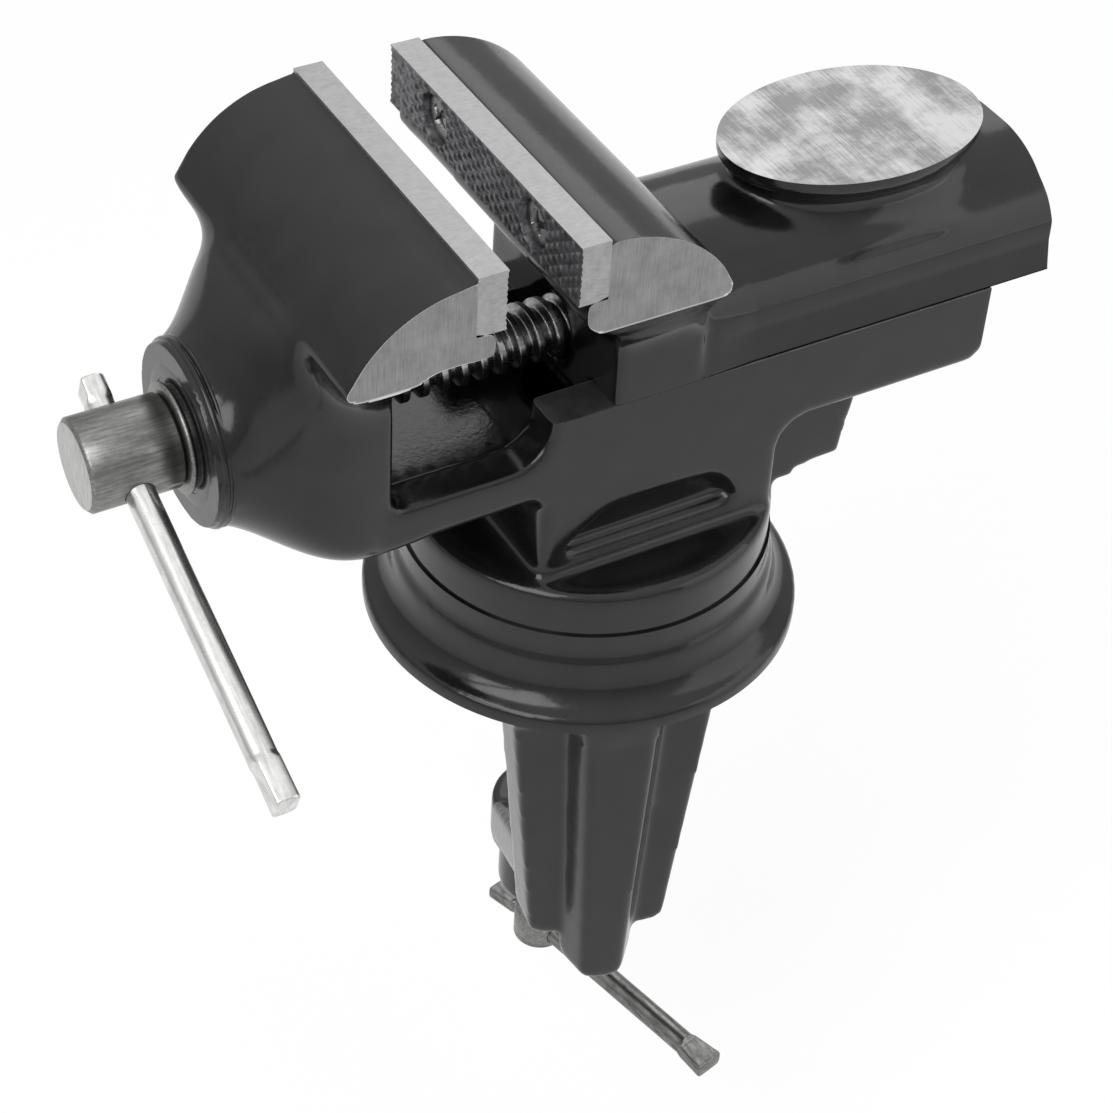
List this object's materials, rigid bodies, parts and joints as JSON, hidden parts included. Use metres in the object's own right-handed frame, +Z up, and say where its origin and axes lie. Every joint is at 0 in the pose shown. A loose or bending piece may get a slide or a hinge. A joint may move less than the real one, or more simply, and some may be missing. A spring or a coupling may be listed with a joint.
{
  "type": "clamp-on swivel bench vise",
  "caption": "Small black-enamelled bench vise with an anvil, swivelling on a clamp bracket that grips a bench edge.",
  "frame": {"origin": "on the swivel axis, at the flat underside of the clamp flange", "axes": "+X along the spindle from its head towards the anvil, +Z up, -Y the side seen first"},
  "size_m": [0.1916, 0.1107, 0.2364],
  "materials": {
    "black_enamel": "glossy",
    "ground_steel": "ground",
    "zinc_steel": "bright zinc",
    "dark_steel": "oiled",
    "nut_iron": "machined"
  },
  "bodies": {
    "bracket": {"clamp_bracket": "black_enamel", "swivel_bolt": "zinc_steel", "swivel_washer": "zinc_steel", "swivel_spring_washer": "zinc_steel"},
    "vise": {"vise_body": "black_enamel", "front_jaw_plate": "ground_steel", "front_plate_screws": "dark_steel", "thrust_washer": "zinc_steel"},
    "slide": {"slide_casting": "black_enamel", "rear_jaw_plate": "ground_steel", "rear_plate_screws": "dark_steel", "keeper_plate": "dark_steel", "keeper_screws": "zinc_steel", "spindle_nut": "nut_iron"},
    "spindle": {"lead_spindle": "zinc_steel", "spindle_collar": "dark_steel", "collar_pin": "dark_steel"},
    "spindle_handle": {"spindle_bar": "zinc_steel"},
    "pad": {"clamp_pad": "dark_steel", "pad_ring": "dark_steel"},
    "screw": {"clamp_screw": "zinc_steel"},
    "clamp_handle": {"clamp_bar": "zinc_steel"}
  },
  "joints": [
    {"name": "swivel", "type": "hinge", "parent": "bracket", "child": "vise", "pos_m": [0, 0, 0.0192], "axis": [0, 0, 1], "continuous": true},
    {"name": "jaw_slide", "type": "slide", "parent": "vise", "child": "slide", "axis": [1, 0, 0], "range_m": [-0.0135, 0.0364]},
    {"name": "spindle_turn", "type": "hinge", "parent": "vise", "child": "spindle", "pos_m": [0, 0, 0.0681], "axis": [1, 0, 0], "range_deg": [-3290, 1230]},
    {"name": "spindle_bar_slide", "type": "slide", "parent": "spindle", "child": "spindle_handle", "axis": [0, -0.9289, -0.3704], "range_m": [-0.0525, 0.0012]},
    {"name": "clamp_rise", "type": "slide", "parent": "bracket", "child": "pad", "axis": [0, 0, 1], "range_m": [-0.048, 0.009]},
    {"name": "clamp_turn", "type": "hinge", "parent": "pad", "child": "screw", "pos_m": [0.00386, 0.01189, -0.09], "axis": [0, 0, 1], "range_deg": [-8650, 1630]},
    {"name": "clamp_bar_slide", "type": "slide", "parent": "screw", "child": "clamp_handle", "axis": [0.2389, -0.971, 0], "range_m": [-0.042, 0]}
  ],
  "couplings": [
    {"joint": "spindle_turn", "follows": "jaw_slide", "rad_per_m": -1570.8},
    {"joint": "clamp_turn", "follows": "clamp_rise", "rad_per_m": 3141.6}
  ]
}
